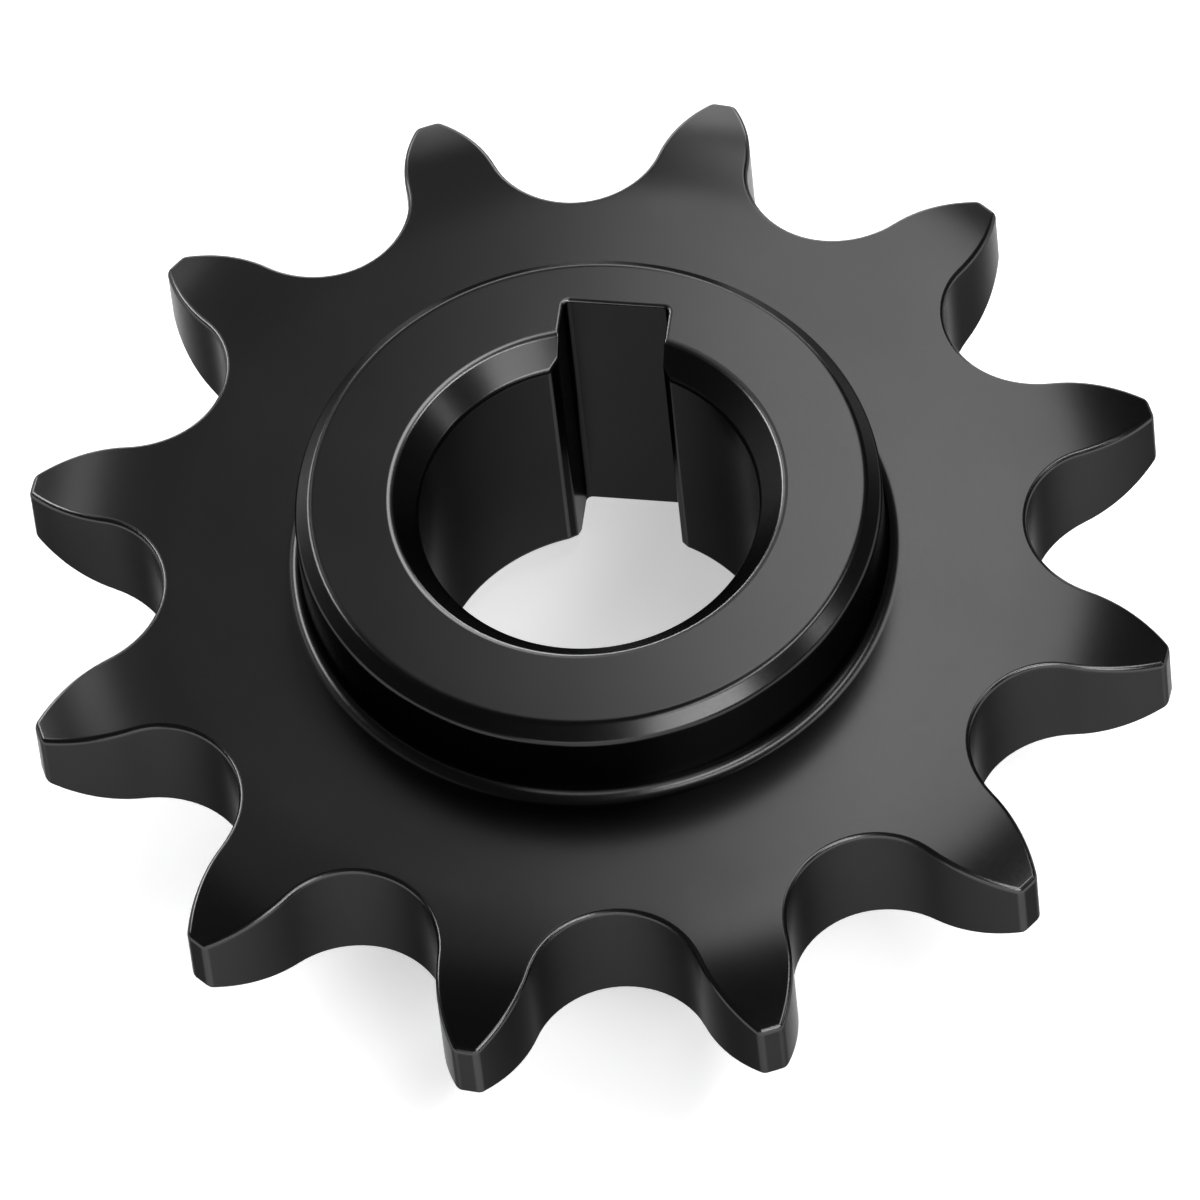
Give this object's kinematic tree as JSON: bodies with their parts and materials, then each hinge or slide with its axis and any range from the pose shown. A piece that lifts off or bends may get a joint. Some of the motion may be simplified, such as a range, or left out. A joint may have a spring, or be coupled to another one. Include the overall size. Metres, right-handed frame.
{
  "type": "chain sprocket",
  "caption": "Roller chain sprocket with a keyed bore, a hub on both sides and a toothed plate that thins towards the tips.",
  "frame": {"origin": "centre of the bore in the plane of the hub's lower face", "axes": "+Z along the bore's axis, +Y through the middle of the keyway"},
  "size_m": [0.0548, 0.0548, 0.0164],
  "materials": {
    "blackened_steel": "black oxide, satin"
  },
  "bodies": {
    "root": {"sprocket": "blackened_steel"}
  },
  "joints": []
}
